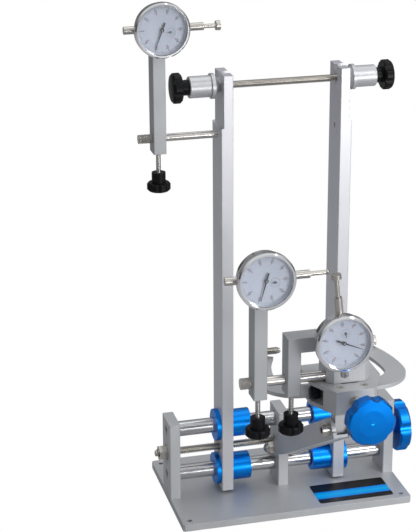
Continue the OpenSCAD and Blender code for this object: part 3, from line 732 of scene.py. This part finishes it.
def numeral(text, dial, angle, radius, size, look, name):
    """A printed number on a circle of the face, its top away from the stem."""
    bpy.ops.object.select_all(action="DESELECT")
    bpy.ops.object.text_add()
    word = bpy.context.object
    word.data.body = text
    word.data.size = size * MM
    word.data.align_x = "CENTER"
    word.data.align_y = "CENTER"
    word.data.extrude = 0.02 * MM
    bpy.ops.object.convert(target="MESH")
    word = bpy.context.object
    word.name = name
    word.rotation_euler = (math.pi / 2, -(dial["turn"] + math.pi / 2), 0)
    word.location = on_dial(dial, radius * math.cos(angle), radius * math.sin(angle), NUMBER_HEIGHT)
    bpy.ops.object.transform_apply(location=True, rotation=True, scale=True)
    return dress(word, LOOKS[look])


def dial_numbers(name, dial):
    black = []
    red = []
    for step in range(10):
        angle = math.pi - step * TURN / 10
        forward = str(step * 10)
        black.append(
            numeral(forward, dial, angle, NUMBER_R, NUMBER_SIZE, "black_ink", f"{name}_n{step}")
        )
        if step:
            back = str(100 - step * 10)
            red.append(
                numeral(back, dial, angle, RED_NUMBER_R, RED_NUMBER_SIZE, "red_ink", f"{name}_r{step}")
            )
    for pieces, ending, look in ((black, "_black_numbers", "black_ink"), (red, "_red_numbers", "red_ink")):
        printed = join(pieces, name + ending)
        dress(printed, LOOKS[look])
        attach(printed, name + "_bezel")


for dial_name, dial in DIALS.items():
    print_look = dial_print(dial_name + "_print", dial)
    face_disc(dial_name + "_face_disc", dial, dial["body"], print_look)
    face_ring(dial_name + "_face_ring", dial, dial_name + "_bezel", print_look)
    dial_numbers(dial_name, dial)


# Label on the base, left bare

label_middle = (LABEL_PLACE[0] * MM, LABEL_PLACE[1] * MM, (BASE_TOP + LABEL_SIZE[2] / 2) * MM)
label = start("cube", "base_label", size=1, location=label_middle)
label.scale = [side * MM for side in LABEL_SIZE]
bpy.ops.object.transform_apply(location=False, rotation=False, scale=True)
bpy.ops.object.mode_set(mode="EDIT")
bpy.ops.mesh.select_mode(type="EDGE")
bpy.ops.mesh.select_all(action="DESELECT")
bpy.ops.object.mode_set(mode="OBJECT")
for edge in label.data.edges:
    ends = [label.data.vertices[i].co for i in edge.vertices]
    edge.select = abs(ends[0].z - ends[1].z) > 0.1 * MM
bpy.ops.object.mode_set(mode="EDIT")
bpy.ops.mesh.bevel(offset=2.5 * MM, segments=6)
select_faces(label, lambda middle, normal: normal.z > 0.9)
bpy.ops.mesh.inset(thickness=0.8 * MM)
bpy.ops.transform.translate(value=(0, 0, -0.12 * MM))
bpy.ops.object.mode_set(mode="OBJECT")
settle(label, "stand", LOOKS["label"])


# Floor, light and camera

floor = start("plane", "floor", size=6, location=(0, 0, -0.0005))
floor_graph = Graph("floor_white")
floor_light = floor_graph.node("ShaderNodeEmission", None, {"Color": (1, 1, 1, 1), "Strength": 1.0})
floor_matt = floor_graph.node("ShaderNodeBsdfDiffuse", None, {"Color": (0.50, 0.50, 0.51, 1)})
seen = floor_graph.node("ShaderNodeLightPath", out="Is Camera Ray")
floor_mix = floor_graph.node("ShaderNodeMixShader", None, {0: seen, 1: floor_matt, 2: floor_light})
floor_graph.node("ShaderNodeOutputMaterial", None, {"Surface": floor_mix})
dress(floor, floor_graph.material)

class Sky(Graph):
    """The node graph of the world, with the same operators."""

    def __init__(self, world):
        world.use_nodes = True
        self.tree = world.node_tree
        self.tree.nodes.clear()
        self.object_point = self.node("ShaderNodeTexCoord", out="Generated")


# Studio dome: pale overhead and dim round the horizon, so that polished parts carry dark bands
world = bpy.data.worlds.new("studio")
bpy.context.scene.world = world
sky = Sky(world)
sky_x, sky_y, sky_z = sky.xyz()
overhead = ((sky_z - 0.10) * 1.7).at_least(0.0).at_most(1.0)
in_front = (sky_x * 0.45 - sky_y * 0.9).at_least(0.0)
strength = overhead * 0.56 + in_front * 0.15 + 0.08
dome = sky.node("ShaderNodeBackground", None, {"Color": (0.95, 0.97, 1.0, 1), "Strength": strength})
plain = sky.node("ShaderNodeBackground", None, {"Color": (1, 1, 1, 1)})
seen = sky.node("ShaderNodeLightPath", out="Is Camera Ray")
sky_mix = sky.node("ShaderNodeMixShader", None, {0: seen, 1: dome, 2: plain})
sky.node("ShaderNodeOutputWorld", None, {"Surface": sky_mix})


def area_light(name, place, aim, size, power, tall=None):
    data = bpy.data.lights.new(name, "AREA")
    data.shape = "RECTANGLE"
    data.size = size
    data.size_y = tall or size
    data.energy = power
    lamp = bpy.data.objects.new(name, data)
    bpy.context.scene.collection.objects.link(lamp)
    lamp.location = place
    lamp.rotation_euler = (Vector(aim) - Vector(place)).to_track_quat("-Z", "Y").to_euler()
    return lamp


MIDDLE = (0, -0.1, 0.28)
area_light("front", (1.0, -2.1, 0.22), (0, -0.1, 0.15), 1.05, 23, 0.7)
area_light("key", (1.1, -1.3, 1.7), MIDDLE, 0.9, 12)
area_light("top", (0.1, 0.3, 1.9), MIDDLE, 1.1, 4)

camera_data = bpy.data.cameras.new("camera")
camera = bpy.data.objects.new("camera", camera_data)
bpy.context.scene.collection.objects.link(camera)
bpy.context.scene.camera = camera
camera_data.sensor_width = 36
camera_data.lens = 117.19
camera_data.shift_x = -0.05295
camera_data.shift_y = -0.00767
camera_data.clip_start = 0.05
camera_data.clip_end = 20
camera.location = (-0.5081, -1.6999, 0.9249)
camera.rotation_euler = (math.radians(90 - 20.223), 0, math.radians(-15.068))
bpy.context.scene.view_settings.view_transform = "Standard"
